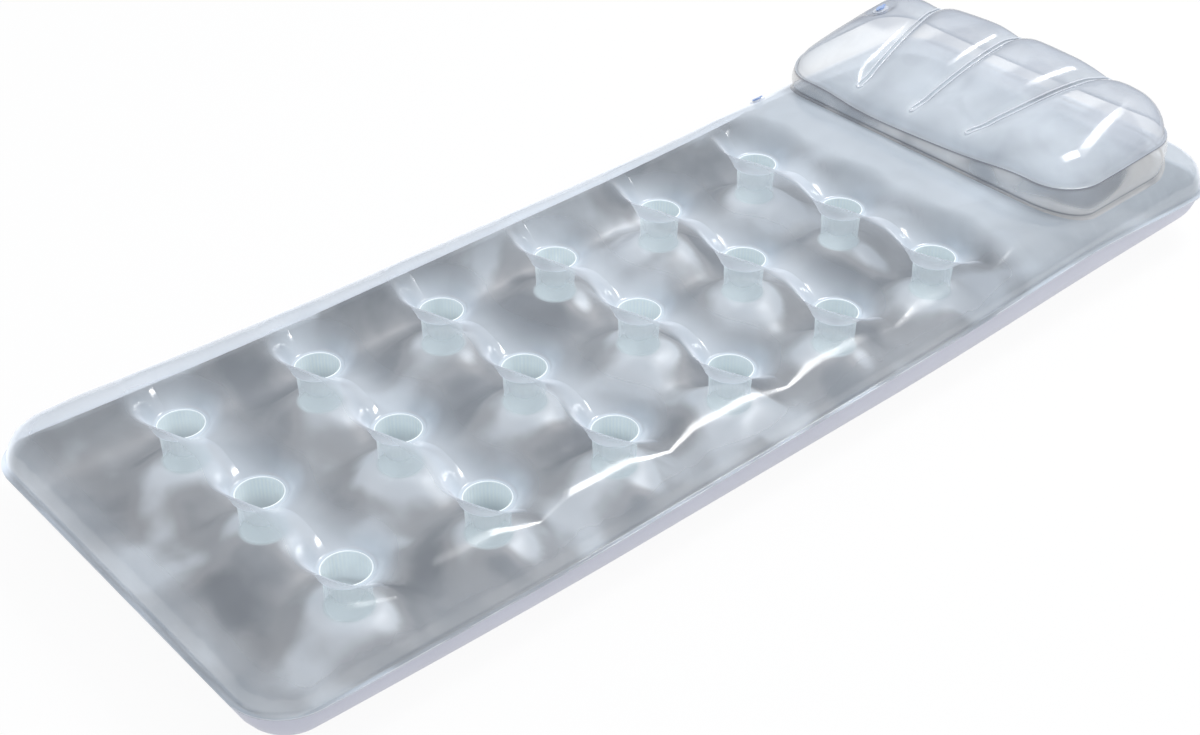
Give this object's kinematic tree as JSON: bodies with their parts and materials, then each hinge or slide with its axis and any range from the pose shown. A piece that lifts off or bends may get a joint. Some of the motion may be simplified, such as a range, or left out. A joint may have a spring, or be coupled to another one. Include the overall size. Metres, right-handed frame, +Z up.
{
  "type": "inflatable pool lounge mat with pillow",
  "caption": "Clear and silver inflatable lounge mat with rows of round pockets and a raised, ribbed pillow at the head end.",
  "frame": {"origin": "on the ground under the middle of the mat: centre of the bounding box's bottom face", "axes": "+Z is up, +Y runs along the mat from its foot to the pillow, and +X runs across it, away from the side with the valves"},
  "size_m": [0.658, 1.782, 0.2707],
  "materials": {
    "clear_film": "clear glossy vinyl film, slightly blue",
    "silver_film": "metallic silver vinyl film, satin gloss",
    "valve_plastic": "translucent pale blue soft vinyl"
  },
  "bodies": {
    "lounge": {"bottom_sheet": "silver_film", "top_sheet": "clear_film", "pocket_tube_01": "clear_film", "pocket_tube_02": "clear_film", "pocket_tube_03": "clear_film", "pocket_tube_04": "clear_film", "pocket_tube_05": "clear_film", "pocket_tube_06": "clear_film", "pocket_tube_07": "clear_film", "pocket_tube_08": "clear_film", "pocket_tube_09": "clear_film", "pocket_tube_10": "clear_film", "pocket_tube_11": "clear_film", "pocket_tube_12": "clear_film", "pocket_tube_13": "clear_film", "pocket_tube_14": "clear_film", "pocket_tube_15": "clear_film", "pocket_tube_16": "clear_film", "pocket_tube_17": "clear_film", "pocket_tube_18": "clear_film", "pillow_band": "clear_film", "pillow_top": "clear_film", "pillow_tie_1": "clear_film", "pillow_tie_2": "clear_film", "pillow_tie_3": "clear_film", "mat_valve_base": "clear_film", "pillow_valve_base": "clear_film"},
    "mat_valve_stem": {"mat_valve_stem": "valve_plastic"},
    "mat_valve_plug": {"mat_valve_plug": "valve_plastic"},
    "mat_valve_flap": {"mat_valve_flap": "valve_plastic"},
    "pillow_valve_stem": {"pillow_valve_stem": "valve_plastic"},
    "pillow_valve_plug": {"pillow_valve_plug": "valve_plastic"},
    "pillow_valve_flap": {"pillow_valve_flap": "valve_plastic"}
  },
  "joints": [
    {"name": "mat_valve_stem_slide", "type": "slide", "parent": "lounge", "child": "mat_valve_stem", "axis": [-0.5081, -0.0394, 0.8604], "range_m": [0, 0.012]},
    {"name": "mat_valve_plug_hinge", "type": "hinge", "parent": "mat_valve_stem", "child": "mat_valve_plug", "pos_m": [-0.29787, 0.48636, 0.13389], "axis": [-0.861, 0, -0.5085], "range_deg": [0, 150]},
    {"name": "mat_valve_flap_hinge", "type": "hinge", "parent": "mat_valve_stem", "child": "mat_valve_flap", "pos_m": [-0.28924, 0.48253, 0.11929], "axis": [0.861, 0, 0.5085], "range_deg": [0, 35], "stiffness_Nm_per_rad": 0.0005},
    {"name": "pillow_valve_stem_slide", "type": "slide", "parent": "lounge", "child": "pillow_valve_stem", "axis": [-0.3246, -0.1915, 0.9263], "range_m": [0, 0.012]},
    {"name": "pillow_valve_plug_hinge", "type": "hinge", "parent": "pillow_valve_stem", "child": "pillow_valve_plug", "pos_m": [-0.24027, 0.70964, 0.25018], "axis": [-0.9437, 0, -0.3307], "range_deg": [0, 150]},
    {"name": "pillow_valve_flap_hinge", "type": "hinge", "parent": "pillow_valve_stem", "child": "pillow_valve_flap", "pos_m": [-0.23453, 0.70844, 0.2338], "axis": [0.9437, 0, 0.3307], "range_deg": [0, 35], "stiffness_Nm_per_rad": 0.0005}
  ]
}
